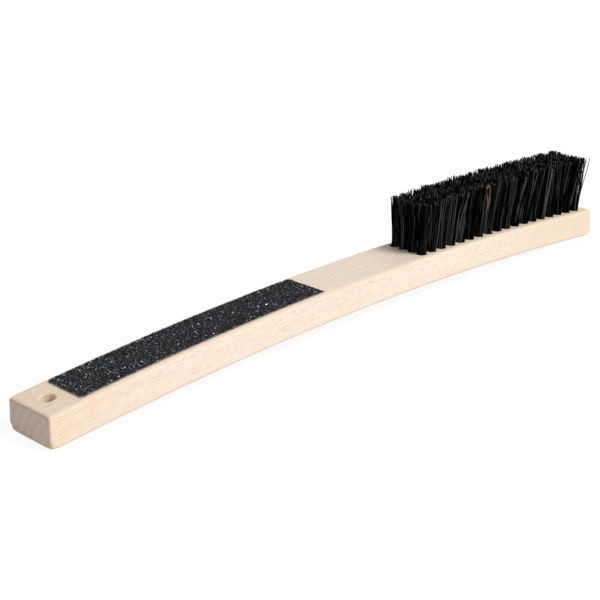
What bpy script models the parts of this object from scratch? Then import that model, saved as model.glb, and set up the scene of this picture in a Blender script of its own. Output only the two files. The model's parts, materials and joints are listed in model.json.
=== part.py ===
"""Climbing brush: an arched beech handle, a stick-on abrasive strip and tufts set in drilled holes.

+X runs from the butt, where the hanging hole is, to the head with the bristles. +Z is the bristle
side. The origin is on the surface that the brush stands on, under the middle of its length.
"""

import math
import random

import bmesh
import bpy
from mathutils import Euler, Matrix, Vector

# Handle: a beech blank cut square at both ends and sawn along two arcs
HANDLE_LENGTH = 0.290
HANDLE_WIDTH = 0.024
SOLE_ARC_RADIUS = 1.488
BUTT_THICKNESS = 0.0127
HEAD_THICKNESS = 0.0116
SOLE_CORNER_RADIUS = 0.0023
TOP_CORNER_RADIUS = 0.0015
EDGE_ROUND_RADIUS = 0.0012
CORNER_STEPS = 5
EDGE_STEPS = 3
GRIP_STEPS = 20
SOLE_STEPS = 26

# Hanging hole, drilled square to the bench through the butt
HANGING_HOLE_DIAMETER = 0.0060
HANGING_HOLE_FROM_BUTT = 0.0083
HANGING_HOLE_RIM_BREAK = 0.0003
HANGING_HOLE_SIDES = 24

# Abrasive strip: a gritted plastic film stuck to the grip, rounded at the butt end, cut off at the other
STRIP_FROM_BUTT = 0.0150
STRIP_LENGTH = 0.1131
STRIP_WIDTH = 0.0200
STRIP_CORNER_RADIUS = 0.0015
STRIP_CUT_CORNER_RADIUS = 0.0004
STRIP_GLUE_LINE = 0.00015
STRIP_FILM_THICKNESS = 0.00015
STRIP_RESIN_LINE = 0.00015
STRIP_GRIT_THICKNESS = 0.00025
STRIP_STEPS = 16
STRIP_CORNER_STEPS = 3

# Tuft field: blind holes drilled square to the arc
TUFT_ROWS = 18
TUFTS_IN_ROW = 4
ROW_PITCH = 0.0058
TUFT_PITCH = 0.0050
LAST_ROW_FROM_HEAD = 0.0073
TUFT_HOLE_DIAMETER = 0.0042
TUFT_HOLE_DEPTH = 0.0083
TUFT_HOLE_SIDES = 12

# Slice of beech under each row, which its anchors bite into
SLICE_THICKNESS = 0.0016
SLICE_SIDE_MARGIN = 0.0005
FIT_CLEARANCE = 0.0003

# Flat-wire anchor that holds each folded tuft down
ANCHOR_THICKNESS = 0.0003
ANCHOR_HEIGHT = 0.0018

# Bristle tufts: strands that stand in two halves beside their anchor
STRANDS_IN_HALF = 3
TUFT_LENGTH_AT_BUTT_SIDE = 0.0205
TUFT_LENGTH_AT_HEAD = 0.0230
TUFT_ROOT_RADIUS = 0.00145
TUFT_TIP_RADIUS_ACROSS = 0.00230
TUFT_TIP_RADIUS_ALONG = 0.00255
STRAND_ROOT_GAP = 0.00016
STRAND_TIP_SHIFT = 0.00010
STRAND_TRIM_SPREAD = 0.00070
LAST_ROW_LEAN = 0.00220
SIDE_TUFT_SPLAY = 0.00050
TRIM_SEED = 11

# Cutters run past what they cut by this much
OVERRUN = 0.0020
SMOOTH_ANGLE = math.radians(32)

# Finishes: colour, roughness, metallic
BEECH = ((0.81, 0.66, 0.53, 1), 0.62, 0.0)
STRIP_FILM_GREY = ((0.16, 0.16, 0.17, 1), 0.55, 0.0)
BLACK_GRIT = ((0.030, 0.031, 0.036, 1), 0.85, 0.0)
BLACK_NYLON = ((0.012, 0.012, 0.013, 1), 0.42, 0.0)


def clear_scene():
    for obj in list(bpy.data.objects):
        bpy.data.objects.remove(obj, do_unlink=True)


def finish(name, values):
    """A material with one Principled BSDF."""
    colour, roughness, metallic = values
    material = bpy.data.materials.new(name)
    material.use_nodes = True
    shader = material.node_tree.nodes["Principled BSDF"]
    shader.inputs["Base Color"].default_value = colour
    shader.inputs["Roughness"].default_value = roughness
    shader.inputs["Metallic"].default_value = metallic
    material.diffuse_color = colour
    return material


def object_from(bm, name, material=None, collection=None):
    """Put the bmesh in a new object with its faces pointing out."""
    bmesh.ops.recalc_face_normals(bm, faces=bm.faces)
    mesh = bpy.data.meshes.new(name)
    bm.to_mesh(mesh)
    bm.free()
    obj = bpy.data.objects.new(name, mesh)
    (collection or bpy.context.scene.collection).objects.link(obj)
    if material:
        mesh.materials.append(material)
    return obj


def make_helper(obj):
    """Cutters and parts that a Boolean joins are drawn as wire and never rendered."""
    obj.hide_render = True
    obj.display_type = "WIRE"
    return obj


class HandleArcs:
    """The two arcs of the handle, with their centres under the origin."""

    def __init__(self):
        half = HANDLE_LENGTH / 2
        self.sole_radius = SOLE_ARC_RADIUS
        corner = SOLE_CORNER_RADIUS
        # The sole's corners touch the bench, and each is tangent to the sole's arc.
        self.centre_z = corner - math.sqrt((self.sole_radius + corner) ** 2 - (half - corner) ** 2)
        self.sole_end_angle = math.asin((half - corner) / (self.sole_radius + corner))
        # The top arc's centre lies a little towards the butt, which thins the head.
        self.top_radius = self.sole_radius + (BUTT_THICKNESS + HEAD_THICKNESS) / 2
        thinning = (BUTT_THICKNESS - HEAD_THICKNESS) / 2
        self.top_centre_x = -thinning * self.sole_radius / half
        self.butt_angle = math.asin((-half - self.top_centre_x) / self.top_radius)
        self.head_angle = math.asin((half - self.top_centre_x) / self.top_radius)
        self.top_length = self.top_radius * (self.head_angle - self.butt_angle)

    def sole_point(self, angle):
        x = self.sole_radius * math.sin(angle)
        return Vector((x, 0, self.centre_z + self.sole_radius * math.cos(angle)))

    def top_angle(self, from_butt):
        return self.butt_angle + from_butt / self.top_radius

    def top_point(self, from_butt, across=0, lift=0):
        """A point over the top face, by its distance along the arc from the butt."""
        angle = self.top_angle(from_butt)
        reach = self.top_radius + lift
        x = self.top_centre_x + reach * math.sin(angle)
        return Vector((x, across, self.centre_z + reach * math.cos(angle)))

    def top_corner(self, side):
        """The centre of the round at the top of one end, and the angle at which it leaves the top arc."""
        radius = TOP_CORNER_RADIUS
        x = side * (HANDLE_LENGTH / 2 - radius)
        reach = self.top_radius - radius
        angle = math.asin((x - self.top_centre_x) / reach)
        return Vector((x, 0, self.centre_z + reach * math.cos(angle))), angle

    def from_butt(self, angle):
        return (angle - self.butt_angle) * self.top_radius


ARCS = HandleArcs()


def row_from_butt(row):
    """The distance of a tuft row's centre line from the butt, along the top."""
    last = ARCS.top_length - LAST_ROW_FROM_HEAD
    return last - (TUFT_ROWS - 1 - row) * ROW_PITCH


def tuft_across(tuft):
    return (tuft - (TUFTS_IN_ROW - 1) / 2) * TUFT_PITCH


def spread(first, last, steps):
    return [first + (last - first) * step / steps for step in range(steps + 1)]


def corner_round(centre, radius, first, last):
    """The points of a round in side view. Angles count from +X towards +Z."""
    turns = spread(first, last, CORNER_STEPS)
    return [centre + radius * Vector((math.cos(turn), 0, math.sin(turn))) for turn in turns]


def side_outline():
    """The handle in side view, once round from the sole at the butt."""
    half = HANDLE_LENGTH / 2
    up = math.pi / 2
    sole_end = ARCS.sole_end_angle
    beside_hole = math.asin((-half + 2 * HANGING_HOLE_FROM_BUTT) / ARCS.sole_radius)
    points = [ARCS.sole_point(-sole_end)]
    points += [ARCS.sole_point(angle) for angle in spread(beside_hole, sole_end, SOLE_STEPS)]

    low = Vector((half - SOLE_CORNER_RADIUS, 0, SOLE_CORNER_RADIUS))
    points += corner_round(low, SOLE_CORNER_RADIUS, -up, 0)

    high, high_angle = ARCS.top_corner(1)
    points += corner_round(high, TOP_CORNER_RADIUS, 0, up - high_angle)[:-1]

    # One flat facet for each tuft row, and even facets along the grip.
    far, far_angle = ARCS.top_corner(-1)
    grip_end = row_from_butt(0) - ROW_PITCH / 2
    stations = [ARCS.from_butt(high_angle)]
    stations += [row_from_butt(row) + ROW_PITCH / 2 for row in reversed(range(TUFT_ROWS - 1))]
    stations += spread(grip_end, 2 * HANGING_HOLE_FROM_BUTT, GRIP_STEPS)
    stations.append(ARCS.from_butt(far_angle))
    points += [ARCS.top_point(station) for station in stations]

    points += corner_round(far, TOP_CORNER_RADIUS, up - far_angle, math.pi)[1:]

    near = Vector((SOLE_CORNER_RADIUS - half, 0, SOLE_CORNER_RADIUS))
    points += corner_round(near, SOLE_CORNER_RADIUS, math.pi, 3 * up)
    return points


def handle_blank(material):
    bm = bmesh.new()
    side = Vector((0, HANDLE_WIDTH / 2, 0))
    face = bm.faces.new([bm.verts.new(point - side) for point in side_outline()])
    grown = bmesh.ops.extrude_face_region(bm, geom=[face], use_keep_orig=True)
    moved = [item for item in grown["geom"] if isinstance(item, bmesh.types.BMVert)]
    bmesh.ops.translate(bm, verts=moved, vec=2 * side)
    rims = [edge for edge in bm.edges if edge.verts[0].co.y * edge.verts[1].co.y > 0]
    bmesh.ops.bevel(
        bm,
        geom=rims,
        offset=EDGE_ROUND_RADIUS,
        offset_type="OFFSET",
        segments=EDGE_STEPS,
        profile=0.5,
        affect="EDGES",
        clamp_overlap=False,
        material=-1,
    )
    handle = object_from(bm, "handle", material)
    handle.data.shade_smooth()
    handle.data.set_sharp_from_angle(angle=SMOOTH_ANGLE)
    return handle


def place_on_top(obj, from_butt):
    """Stand the object on the top face, with its Z square to the arc."""
    obj.rotation_euler = Euler((0, ARCS.top_angle(from_butt), 0))
    obj.location = ARCS.top_point(from_butt)
    return obj


def cone_bmesh(sides, low_radius, high_radius, height):
    """A cone or cylinder on the Z axis, from the origin up."""
    bm = bmesh.new()
    bmesh.ops.create_cone(
        bm, cap_ends=True, segments=sides, radius1=low_radius, radius2=high_radius, depth=height
    )
    bmesh.ops.translate(bm, verts=bm.verts, vec=Vector((0, 0, height / 2)))
    return bm


def hanging_hole_cutters(collection):
    """A bore through the butt, and a countersink at each mouth that takes the sharp rim off."""
    radius = HANGING_HOLE_DIAMETER / 2
    x = HANGING_HOLE_FROM_BUTT - HANDLE_LENGTH / 2
    top_angle = math.asin((x - ARCS.top_centre_x) / ARCS.top_radius)
    sole_angle = math.asin(x / ARCS.sole_radius)
    top_mouth = ARCS.top_point(ARCS.from_butt(top_angle))
    sole_mouth = ARCS.sole_point(sole_angle)

    depth = top_mouth.z - sole_mouth.z + 2 * OVERRUN
    bm = cone_bmesh(HANGING_HOLE_SIDES, radius, radius, depth)
    bore = make_helper(object_from(bm, "hanging_hole_bore", collection=collection))
    bore.location = (x, 0, sole_mouth.z - OVERRUN)

    wide = radius + HANGING_HOLE_RIM_BREAK + OVERRUN
    narrow = radius / 2
    mouths = (("top", top_mouth, top_angle), ("sole", sole_mouth, sole_angle + math.pi))
    for name, mouth, turn in mouths:
        bm = cone_bmesh(HANGING_HOLE_SIDES, narrow, wide, wide - narrow)
        bmesh.ops.translate(bm, verts=bm.verts, vec=Vector((0, 0, OVERRUN + narrow - wide)))
        # Half a side's turn keeps its edges off the bore's own.
        half_side = Matrix.Rotation(math.pi / HANGING_HOLE_SIDES, 3, "Z")
        bmesh.ops.rotate(bm, verts=bm.verts, matrix=half_side)
        rim = make_helper(object_from(bm, f"hanging_hole_{name}_rim", collection=collection))
        rim.rotation_euler = Euler((0, turn, 0))
        rim.location = mouth


def slice_size():
    """The beech slice under a row: a little wider than the holes that stand on it."""
    along = TUFT_HOLE_DIAMETER + 2 * SLICE_SIDE_MARGIN - 2 * FIT_CLEARANCE
    across = (TUFTS_IN_ROW - 1) * TUFT_PITCH + along
    return Vector((along, across, SLICE_THICKNESS))


def slice_middle():
    """The slice's middle, with the clearance between it and the floor of its pocket."""
    return Vector((0, 0, FIT_CLEARANCE + SLICE_THICKNESS / 2 - TUFT_HOLE_DEPTH))


def slice_top_z():
    return slice_middle().z + SLICE_THICKNESS / 2


def add_box(bm, size, middle):
    made = bmesh.ops.create_cube(bm, size=1)
    bmesh.ops.scale(bm, verts=made["verts"], vec=size)
    bmesh.ops.translate(bm, verts=made["verts"], vec=middle)


def row_cutters(row, collection):
    """Four blind holes, and the pocket at their floor for the slice."""
    from_butt = row_from_butt(row)
    floor_z = slice_middle().z
    radius = TUFT_HOLE_DIAMETER / 2
    for tuft in range(TUFTS_IN_ROW):
        bm = cone_bmesh(TUFT_HOLE_SIDES, radius, radius, OVERRUN - floor_z)
        bmesh.ops.translate(bm, verts=bm.verts, vec=Vector((0, tuft_across(tuft), floor_z)))
        name = f"hole_cutter_{row + 1:02d}_{tuft + 1}"
        place_on_top(make_helper(object_from(bm, name, collection=collection)), from_butt)

    bm = bmesh.new()
    gap = 2 * FIT_CLEARANCE
    add_box(bm, slice_size() + Vector((gap, gap, gap)), slice_middle())
    pocket = make_helper(object_from(bm, f"pocket_cutter_{row + 1:02d}", collection=collection))
    place_on_top(pocket, from_butt)


def make_handle(material):
    handle = handle_blank(material)
    cutters = bpy.data.collections.new("handle_cutters")
    bpy.context.scene.collection.children.link(cutters)
    hanging_hole_cutters(cutters)
    for row in range(TUFT_ROWS):
        row_cutters(row, cutters)
    cut = handle.modifiers.new("drilled_holes", "BOOLEAN")
    cut.operation = "DIFFERENCE"
    cut.operand_type = "COLLECTION"
    cut.collection = cutters
    cut.solver = "EXACT"
    return handle


def strip_corner(radius):
    """A corner of the strip from its end to its side, as distance from that end and half width."""
    half = STRIP_WIDTH / 2
    quarter = spread(0, math.pi / 2, STRIP_CORNER_STEPS)
    return [(radius * (1 - math.cos(turn)), half - radius * (1 - math.sin(turn))) for turn in quarter]


def strip_outline(steps):
    """Pairs of distance from the strip's butt end and half width there."""
    half = STRIP_WIDTH / 2
    first, last = STRIP_CORNER_RADIUS, STRIP_LENGTH - STRIP_CUT_CORNER_RADIUS
    straight = [(place, half) for place in spread(first, last, steps)][1:-1]
    cut_end = [(STRIP_LENGTH - place, width) for place, width in strip_corner(STRIP_CUT_CORNER_RADIUS)]
    return strip_corner(STRIP_CORNER_RADIUS) + straight + cut_end[::-1]


def strip_layer(name, low, high, material):
    """One layer of the strip: a ribbon bent to the grip, from one lift over the wood to another."""
    bm = bmesh.new()
    rails = []
    for lift in (low, high):
        for side in (-1, 1):
            rail = []
            for place, width in strip_outline(STRIP_STEPS):
                rail.append(bm.verts.new(ARCS.top_point(STRIP_FROM_BUTT + place, side * width, lift)))
            rails.append([bm.edges.new(pair) for pair in zip(rail, rail[1:])])
    low_right, low_left, high_right, high_left = rails
    walls = ((low_right, low_left), (high_right, high_left), (low_right, high_right), (low_left, high_left))
    for first, second in walls:
        bmesh.ops.bridge_loops(bm, edges=first + second)
    bmesh.ops.holes_fill(bm, edges=[edge for edge in bm.edges if edge.is_boundary])
    layer = object_from(bm, name, material)
    layer.data.shade_smooth()
    layer.data.set_sharp_from_angle(angle=SMOOTH_ANGLE)
    return layer


def make_strip(film_material, grit_material):
    film_low = STRIP_GLUE_LINE
    film_high = film_low + STRIP_FILM_THICKNESS
    grit_low = film_high + STRIP_RESIN_LINE
    grit_high = grit_low + STRIP_GRIT_THICKNESS
    strip_layer("strip_film", film_low, film_high, film_material)
    strip_layer("strip_grit", grit_low, grit_high, grit_material)


def strand_section(tuft_half, strand):
    """A strand's three corners in a tuft of unit radius, and the direction in which it stands off."""
    wedge = math.pi / STRANDS_IN_HALF
    turns = (strand * wedge, (strand + 1) * wedge)
    corners = [Vector((0, 0))] + [Vector((math.cos(turn), tuft_half * math.sin(turn))) for turn in turns]
    middle = (strand + 0.5) * wedge
    return corners, Vector((math.cos(middle), tuft_half * math.sin(middle)))


def add_strand(bm, tuft_half, strand, across, length, lean, chance):
    """A three-sided strand from inside the slice to its trimmed tip."""
    corners, away = strand_section(tuft_half, strand)
    beside_anchor = Vector((0, tuft_half * (ANCHOR_THICKNESS / 2 + STRAND_ROOT_GAP)))
    shift = Vector((chance.uniform(-1, 1), chance.uniform(-1, 1))) * STRAND_TIP_SHIFT
    trim = length + chance.uniform(-1, 0) * STRAND_TRIM_SPREAD
    slope = chance.uniform(-1, 1) * STRAND_TRIM_SPREAD / 2
    taken = ANCHOR_THICKNESS / 2 + 2 * STRAND_ROOT_GAP
    root_reach = TUFT_ROOT_RADIUS - taken
    tip_reach_along = TUFT_TIP_RADIUS_ALONG - taken - STRAND_TIP_SHIFT
    tip_reach_across = TUFT_TIP_RADIUS_ACROSS - taken - STRAND_TIP_SHIFT
    foot = []
    tip = []
    for corner in corners:
        root = corner * root_reach + away * STRAND_ROOT_GAP + beside_anchor
        foot.append(bm.verts.new((root.x, across + root.y, slice_middle().z)))
        spread_out = Vector((corner.x * tip_reach_along, corner.y * tip_reach_across))
        end = spread_out + 2 * away * STRAND_ROOT_GAP + beside_anchor + shift + lean
        tip.append(bm.verts.new((end.x, across + end.y, trim + slope * corner.x)))
    bm.faces.new(foot)
    bm.faces.new(tip)
    for index in range(len(foot)):
        after = (index + 1) % len(foot)
        bm.faces.new((foot[index], foot[after], tip[after], tip[index]))


def tuft_length(row):
    share = row / (TUFT_ROWS - 1)
    return TUFT_LENGTH_AT_BUTT_SIDE + (TUFT_LENGTH_AT_HEAD - TUFT_LENGTH_AT_BUTT_SIDE) * share


def tuft_lean(row, tuft):
    """How far a tuft's tips stand off from its hole: more and more to the head, and out at the sides."""
    along = LAST_ROW_LEAN * row / (TUFT_ROWS - 1)
    across = {0: -SIDE_TUFT_SPLAY, TUFTS_IN_ROW - 1: SIDE_TUFT_SPLAY}.get(tuft, 0)
    return Vector((along, across))


def anchor_length():
    return TUFT_HOLE_DIAMETER * math.cos(math.pi / TUFT_HOLE_SIDES) - 2 * FIT_CLEARANCE


def make_tuft_row(row, material, helpers):
    """Four tufts and their anchors on the slice of beech that holds them."""
    chance = random.Random(TRIM_SEED + row)
    bm = bmesh.new()
    add_box(bm, slice_size(), slice_middle())
    base = object_from(bm, f"tuft_row_{row + 1:02d}", material)
    place_on_top(base, row_from_butt(row))

    bm = bmesh.new()
    low = slice_middle().z
    high = slice_top_z() + ANCHOR_HEIGHT
    for tuft in range(TUFTS_IN_ROW):
        across = tuft_across(tuft)
        lean = tuft_lean(row, tuft)
        anchor = Vector((anchor_length(), ANCHOR_THICKNESS, high - low))
        add_box(bm, anchor, Vector((0, across, (low + high) / 2)))
        for tuft_half in (-1, 1):
            for strand in range(STRANDS_IN_HALF):
                add_strand(bm, tuft_half, strand, across, tuft_length(row), lean, chance)
    strands = make_helper(object_from(bm, f"strands_{row + 1:02d}", material, helpers))
    place_on_top(strands, row_from_butt(row))
    join = base.modifiers.new("strands_and_anchors", "BOOLEAN")
    join.operation = "UNION"
    join.object = strands
    join.solver = "EXACT"
    return base


def main():
    clear_scene()
    beech = finish("beech", BEECH)
    film = finish("strip_film_grey", STRIP_FILM_GREY)
    grit = finish("black_grit", BLACK_GRIT)
    nylon = finish("black_nylon", BLACK_NYLON)
    make_handle(beech)
    make_strip(film, grit)
    helpers = bpy.data.collections.new("row_helpers")
    bpy.context.scene.collection.children.link(helpers)
    for row in range(TUFT_ROWS):
        make_tuft_row(row, nylon, helpers)


if __name__ == "__main__":
    main()
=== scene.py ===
"""Climbing brush: the visual model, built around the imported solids.

The file is laid out as a Blender add-on and is run as a script. Lengths are in metres. +X runs from
the butt to the head, +Z is the bristle side, and the brush stands on z = 0.
"""

import json
import math
import random

import bmesh
import bpy
import numpy as np
from bpy.props import FloatProperty, FloatVectorProperty, IntProperty, PointerProperty
from mathutils import Matrix, Vector

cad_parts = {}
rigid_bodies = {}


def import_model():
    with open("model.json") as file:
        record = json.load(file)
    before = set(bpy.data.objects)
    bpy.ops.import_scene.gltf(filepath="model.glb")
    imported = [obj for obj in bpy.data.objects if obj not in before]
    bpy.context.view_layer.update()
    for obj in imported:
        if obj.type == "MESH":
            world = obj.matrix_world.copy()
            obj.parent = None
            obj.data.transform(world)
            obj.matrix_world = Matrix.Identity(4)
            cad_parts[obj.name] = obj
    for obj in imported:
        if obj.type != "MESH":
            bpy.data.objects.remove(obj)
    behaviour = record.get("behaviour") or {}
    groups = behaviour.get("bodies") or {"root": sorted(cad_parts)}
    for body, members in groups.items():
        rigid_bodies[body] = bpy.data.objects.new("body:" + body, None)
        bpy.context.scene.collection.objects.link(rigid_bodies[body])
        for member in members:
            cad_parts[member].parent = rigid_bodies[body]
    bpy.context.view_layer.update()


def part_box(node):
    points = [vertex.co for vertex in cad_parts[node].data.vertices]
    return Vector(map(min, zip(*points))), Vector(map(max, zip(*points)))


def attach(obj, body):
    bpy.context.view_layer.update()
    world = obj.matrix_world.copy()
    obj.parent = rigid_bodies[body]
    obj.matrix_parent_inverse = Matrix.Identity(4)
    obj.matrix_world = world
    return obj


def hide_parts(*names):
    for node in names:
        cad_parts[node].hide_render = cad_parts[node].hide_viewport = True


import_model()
HANDLE_LOW, HANDLE_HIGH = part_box("handle")

bl_info = {
    "name": "Climbing brush",
    "version": (1, 0, 0),
    "blender": (4, 5, 0),
    "location": "3D View > Sidebar > Brush",
    "description": "Builds a climbing brush: beech handle, abrasive strip and bristle tufts",
    "category": "Object",
}


# Settings


def setting(kind, **options):
    """A short way to write the properties of one kind."""
    return lambda name, description, default: kind(
        name=name, description=description, default=default, **options
    )


size = setting(FloatProperty, min=0, unit="LENGTH", precision=5)
count = setting(IntProperty, min=1)
ratio = setting(FloatProperty, min=0)
power = setting(FloatProperty, min=0, unit="POWER")
colour = setting(FloatVectorProperty, min=0, max=1, subtype="COLOR")


class HandleSettings(bpy.types.PropertyGroup):
    length: size("Length", "Butt to head", HANDLE_HIGH.x - HANDLE_LOW.x)
    width: size("Width", "Across the handle", HANDLE_HIGH.y - HANDLE_LOW.y)
    sole_radius: size("Sole radius", "Radius of the underside's arc", 1.488)
    butt_thickness: size("Butt thickness", "Square to the arc at the butt", 0.0127)
    head_thickness: size("Head thickness", "Square to the arc at the head", 0.0116)
    sole_corner: size("Sole corner", "Round at the foot of both ends", 0.0024)
    top_corner: size("Top corner", "Round at the top of both ends", 0.0013)
    edge_round: size("Edge round", "Round along both side faces", 0.0012)
    foot_round: size("Foot round", "Ball round on the butt's lowest corners", 0.0020)
    butt_lean: size("Butt lean", "How far its foot stands out", 0.0009)
    hole_diameter: size("Hanging hole", "Its diameter", 0.0060)
    hole_from_butt: size("Hole from butt", "Its centre from the butt", 0.0083)
    hole_rim: size("Hole rim", "Round on its rims", 0.0004)


class WoodSettings(bpy.types.PropertyGroup):
    ring_spacing: size("Ring spacing", "Distance between growth rings", 0.0039)
    plain: colour("Plain", "Beech, along the grain", (0.885, 0.740, 0.600))
    pale: colour("Pale", "Its palest clouds", (0.905, 0.765, 0.635))
    late: colour("Late wood", "Dark side of a growth ring", (0.74, 0.56, 0.42))
    blush: colour("Blush", "Its warmer spots", (0.895, 0.725, 0.61))
    fleck: colour("Fleck", "Ray flecks on the sides", (0.74, 0.54, 0.35))
    near_butt: colour("Near butt", "Its deeper patches", (0.825, 0.64, 0.465))
    near_head: colour("Near head", "Its deeper tone", (0.78, 0.622, 0.455))
    # Painted shade for the rounds along the sides, which tones down the light band on them
    edge: colour("Edge", "Sanded rounds along the sides", (0.78, 0.59, 0.425))
    sole: colour("Sole", "Warmer band along the sole", (0.84, 0.63, 0.43))
    end_grain: colour("End grain", "Beech, across the grain", (0.658, 0.515, 0.426))
    end_pale: colour("End, pale", "Its palest clouds", (0.69, 0.55, 0.462))
    end_late: colour("End, late wood", "Growth rings on it", (0.42, 0.31, 0.235))
    # Painted shade at the foot of the ends, next to the floor
    end_foot_shade: colour("End, sole", "Its darker foot", (0.42, 0.30, 0.22))
    # Painted tan shade for the rounds between the ends and the faces
    end_corner_shade: colour("End, corner", "Sanded corner round it", (0.62, 0.42, 0.27))
    drilled: colour("Drilled", "Wall of the hanging hole", (0.88, 0.70, 0.52))


class StripSettings(bpy.types.PropertyGroup):
    from_butt: size("From butt", "Its near end, along the top", 0.0150)
    length: size("Length", "Along the handle", 0.1131)
    width: size("Width", "Across the handle", 0.0200)
    corner: size("Corner", "Radius at the butt end", 0.0015)
    cut_corner: size("Cut corner", "Radius at the head end", 0.0004)
    film_bottom: size("Film bottom", "Lift of the film over the wood", 0.00003)
    film_top: size("Film top", "Lift of its top over the wood", 0.00034)
    bare_border: size("Bare border", "Film that shows round the grit", 0.0003)
    grain: size("Grain", "Size of a grain", 0.00058)
    grain_pitch: size("Grain pitch", "Distance between grains", 0.00054)
    grit_colour: colour("Grit", "The darkest grains", (0.0045, 0.0052, 0.0075))
    grit_light: colour("Light grit", "The lighter grains", (0.0195, 0.022, 0.0295))
    glint: colour("Glint", "Grains that glint", (0.10, 0.11, 0.13))
    bright_glint: colour("Bright glint", "The few brightest grains", (0.52, 0.55, 0.64))
    film_colour: colour("Film", "Backing of the strip", (0.24, 0.225, 0.21))
    film_dark: colour("Dark film", "Darker spots on the backing", (0.14, 0.135, 0.13))


class BristleSettings(bpy.types.PropertyGroup):
    rows: count("Rows", "Tuft rows along the handle", 18)
    in_row: count("Tufts in a row", "Tufts across the handle", 4)
    row_pitch: size("Row pitch", "Along the handle", 0.0058)
    tuft_pitch: size("Tuft pitch", "Across the handle", 0.0050)
    last_from_head: size("Last row from head", "Along the top", 0.0073)
    hole_diameter: size("Tuft hole", "Its diameter", 0.0042)
    hole_depth: size("Hole depth", "Depth of a tuft's hole", 0.0080)
    foot_radius: size("Tuft foot", "Radius where a tuft leaves the wood", 0.00180)
    strands: count("Strands", "Strands in a tuft", 66)
    clumps: count("Clumps", "Clumps in a tuft", 8)
    strand_diameter: size("Strand diameter", "Diameter of a strand", 0.00041)
    length_butt_side: size("Length, butt side", "Free length of the first row", 0.0207)
    length_head: size("Length, head", "Free length of the last row", 0.0232)
    lean: size("Lean", "How far tips lean to the head", 0.0022)
    fan_along: ratio("Fan along", "Tip radius over root radius, along", 1.75)
    fan_across: ratio("Fan across", "Tip radius over root radius, across", 1.50)
    nylon: colour("Nylon", "Black bristle", (0.0008, 0.0008, 0.0008))
    # Painted sheen: some strands are greyer, standing in for their highlights
    sheen_grey: colour("Grey", "The palest black strands", (0.118, 0.120, 0.125))
    olive: colour("Olive", "The few paler strands", (0.070, 0.060, 0.032))
    # Painted glint on the cut ends that face up
    cut_end_glint: colour("Cut end", "Cut ends that catch the light", (0.33, 0.33, 0.325))
    brown: colour("Brown", "The looped hair", (0.15, 0.080, 0.040))
    pale_brown: colour("Pale brown", "Its paler stretches", (0.26, 0.17, 0.12))


class StageSettings(bpy.types.PropertyGroup):
    key_power: power("Key light", "Power of the key light", 97.5)
    ambient: ratio("Ambient", "Light from all round", 0.80)
    overhead: ratio("Overhead", "Light from above", 0.15)


# Meshes and objects


def added(data, name=None, collection=None):
    """A new object in the collection, or in the scene's own."""
    obj = bpy.data.objects.new(name or data.name, data)
    (collection or bpy.context.scene.collection).objects.link(obj)
    return obj


def shown(name, mesh, material, slot, *replaced):
    """Add a finished piece to the scene, in place of the solids that it stands for."""
    obj = added(mesh, name)
    mesh.materials.clear()
    mesh.materials.append(material)
    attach(obj, "root")
    if replaced:
        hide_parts(*replaced)


def mesh_from(bm, name):
    mesh = bpy.data.meshes.new(name)
    bm.to_mesh(mesh)
    bm.free()
    return mesh


def cut_all(bm, place, normal):
    everything = bm.verts[:] + bm.edges[:] + bm.faces[:]
    bmesh.ops.bisect_plane(bm, geom=everything, plane_co=place, plane_no=normal)


def thicken(bm, faces, move):
    """Extrude the faces to a closed solid."""
    grown = bmesh.ops.extrude_face_region(bm, geom=faces, use_keep_orig=True)
    far = [item for item in grown["geom"] if isinstance(item, bmesh.types.BMVert)]
    bmesh.ops.translate(bm, verts=far, vec=move)


def baked_mesh(obj, name):
    """The object's mesh with its modifiers applied. The object is taken away."""
    bpy.context.view_layer.update()
    graph = bpy.context.evaluated_depsgraph_get()
    mesh = bpy.data.meshes.new_from_object(obj.evaluated_get(graph))
    mesh.name = name
    bpy.data.objects.remove(obj, do_unlink=True)
    return mesh


def points_of(mesh):
    points = np.empty(len(mesh.vertices) * 3, np.float32)
    mesh.vertices.foreach_get("co", points)
    return points.reshape(-1, 3).astype(float)


def copies(bm, number, name):
    """A mesh of copies of a shape, and its points as an array (copy, point, axis)."""
    seed = added(mesh_from(bm, name))
    array = seed.modifiers.new("copies", "ARRAY")
    array.count, array.use_relative_offset = number, False
    mesh = baked_mesh(seed, name)
    return mesh, points_of(mesh).reshape(number, -1, 3)


def set_points(mesh, points):
    mesh.vertices.foreach_set("co", points.astype(np.float32).ravel())
    mesh.update()


def give_each_copy(mesh, attribute, values):
    """One value for each copy, for the material to read."""
    per_copy = len(mesh.vertices) // len(values)
    layer = mesh.attributes.new(attribute, "FLOAT", "POINT")
    layer.data.foreach_set("value", np.repeat(values, per_copy).astype(np.float32))


def spread(first, last, steps):
    return [first + (last - first) * step / steps for step in range(steps + 1)]


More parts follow.
